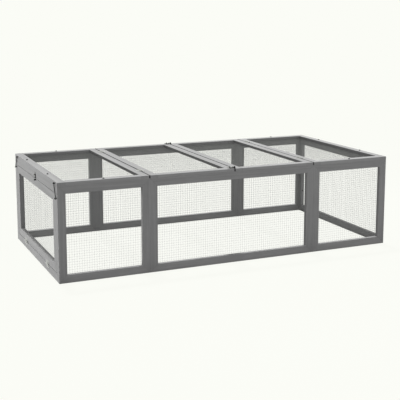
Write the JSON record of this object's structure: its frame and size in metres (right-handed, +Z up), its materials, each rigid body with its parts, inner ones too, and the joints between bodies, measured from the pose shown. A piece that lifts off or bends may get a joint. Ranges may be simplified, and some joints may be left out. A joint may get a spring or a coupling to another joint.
{
  "type": "small animal run",
  "caption": "Low timber run for small animals: painted frames with welded wire mesh, hinged roof lids with barrel bolts, a drop-down end door and wire hooks.",
  "frame": {"origin": "on the ground under the middle of the run", "axes": "+X along the length towards the fixed end, +Y from the front wall to the back wall, +Z up"},
  "size_m": [1.8213, 0.9, 0.4912],
  "materials": {
    "painted_wood": "grey painted planed softwood",
    "galvanised_mesh": "galvanised welded wire",
    "zinc_plated_steel": "zinc plated",
    "black_hardware": "black coated steel",
    "black_screws": "black phosphated"
  },
  "bodies": {
    "run": {"back_left_frame": "painted_wood", "back_left_mesh": "galvanised_mesh", "back_middle_frame": "painted_wood", "back_middle_mesh": "galvanised_mesh", "back_right_frame": "painted_wood", "back_right_mesh": "galvanised_mesh", "door_bolt_plate": "black_hardware", "door_bolt_plate_screws": "black_hardware", "door_hinge_fixed_leaves": "zinc_plated_steel", "door_hinge_fixed_screws": "zinc_plated_steel", "door_hinge_pins": "zinc_plated_steel", "end_joint_screws": "black_screws", "front_left_frame": "painted_wood", "front_left_mesh": "galvanised_mesh", "front_middle_frame": "painted_wood", "front_middle_mesh": "galvanised_mesh", "front_right_frame": "painted_wood", "front_right_mesh": "galvanised_mesh", "hook_pivot_screws": "black_hardware", "hook_rings": "black_hardware", "left_end_frame": "painted_wood", "lid_left_hinge_fixed_leaves": "zinc_plated_steel", "lid_left_hinge_fixed_screws": "zinc_plated_steel", "lid_left_hinge_pins": "zinc_plated_steel", "lid_right_hinge_fixed_leaves": "zinc_plated_steel", "lid_right_hinge_fixed_screws": "zinc_plated_steel", "lid_right_hinge_pins": "zinc_plated_steel", "right_end_frame": "painted_wood", "right_end_mesh": "galvanised_mesh", "roof_left_frame": "painted_wood", "roof_left_mesh": "galvanised_mesh", "roof_right_frame": "painted_wood", "roof_right_mesh": "galvanised_mesh", "roof_screws": "black_screws", "wall_joint_screws": "black_screws"},
    "lid_left": {"lid_bolt_plate_screws": "black_hardware", "lid_bolt_plates": "black_hardware", "lid_left_frame": "painted_wood", "lid_left_hinge_moving_leaves": "zinc_plated_steel", "lid_left_hinge_moving_screws": "zinc_plated_steel", "lid_left_mesh": "galvanised_mesh"},
    "lid_right": {"lid_bolt_keeper_screws": "black_hardware", "lid_bolt_keepers": "black_hardware", "lid_right_frame": "painted_wood", "lid_right_hinge_moving_leaves": "zinc_plated_steel", "lid_right_hinge_moving_screws": "zinc_plated_steel", "lid_right_mesh": "galvanised_mesh"},
    "door": {"door_bolt_keeper": "black_hardware", "door_bolt_keeper_screws": "black_hardware", "door_frame": "painted_wood", "door_hinge_moving_leaves": "zinc_plated_steel", "door_hinge_moving_screws": "zinc_plated_steel", "door_mesh": "galvanised_mesh"},
    "lid_bolt_front": {"lid_bolt_front": "zinc_plated_steel"},
    "lid_bolt_back": {"lid_bolt_back": "zinc_plated_steel"},
    "door_bolt": {"door_bolt": "zinc_plated_steel"},
    "hook_front": {"hook_front": "black_hardware"},
    "hook_back": {"hook_back": "black_hardware"}
  },
  "joints": [
    {"name": "lid_left_hinge", "type": "hinge", "parent": "run", "child": "lid_left", "pos_m": [-0.4525, 0, 0.4832], "axis": [0, -1, 0], "range_deg": [0, 175]},
    {"name": "lid_right_hinge", "type": "hinge", "parent": "run", "child": "lid_right", "pos_m": [0.4525, 0, 0.4832], "axis": [0, 1, 0], "range_deg": [0, 175]},
    {"name": "door_hinge", "type": "hinge", "parent": "run", "child": "door", "pos_m": [-0.9082, 0, 0.03975], "axis": [0, -1, 0], "range_deg": [0, 95]},
    {"name": "lid_bolt_front_slide", "type": "slide", "parent": "lid_left", "child": "lid_bolt_front", "axis": [1, 0, 0], "range_m": [0, 0.0095]},
    {"name": "lid_bolt_back_slide", "type": "slide", "parent": "lid_left", "child": "lid_bolt_back", "axis": [1, 0, 0], "range_m": [0, 0.0095]},
    {"name": "door_bolt_slide", "type": "slide", "parent": "run", "child": "door_bolt", "axis": [0, 0, -1], "range_m": [0, 0.0095]},
    {"name": "hook_front_pivot", "type": "hinge", "parent": "run", "child": "hook_front", "pos_m": [-0.911, -0.414, 0.4725], "axis": [1, 0, 0], "range_deg": [-110, 0]},
    {"name": "hook_back_pivot", "type": "hinge", "parent": "run", "child": "hook_back", "pos_m": [-0.911, 0.376, 0.4725], "axis": [1, 0, 0], "range_deg": [0, 110]}
  ]
}
